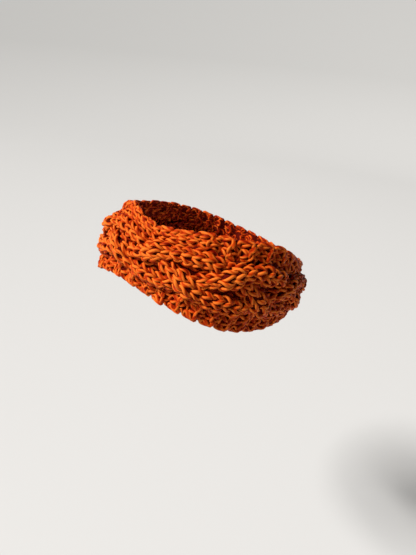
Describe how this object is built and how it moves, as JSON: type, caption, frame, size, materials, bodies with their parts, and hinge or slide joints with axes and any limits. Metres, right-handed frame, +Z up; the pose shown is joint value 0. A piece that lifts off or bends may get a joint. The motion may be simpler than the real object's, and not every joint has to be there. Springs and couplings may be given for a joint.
{
  "type": "ear warmer headband",
  "caption": "Chunky knitted ring-shaped ear warmer with a plaited rope pattern between ridged borders, worn round the forehead and ears.",
  "frame": {"origin": "middle of the opening for the head, as worn", "axes": "+Z up as worn, -Y towards the forehead, +X towards the wearer's left ear"},
  "size_m": [0.1868, 0.1882, 0.1244],
  "materials": {
    "yarn": "chunky twisted yarn, burnt orange"
  },
  "bodies": {
    "root": {"knit_band": "yarn"}
  },
  "joints": []
}
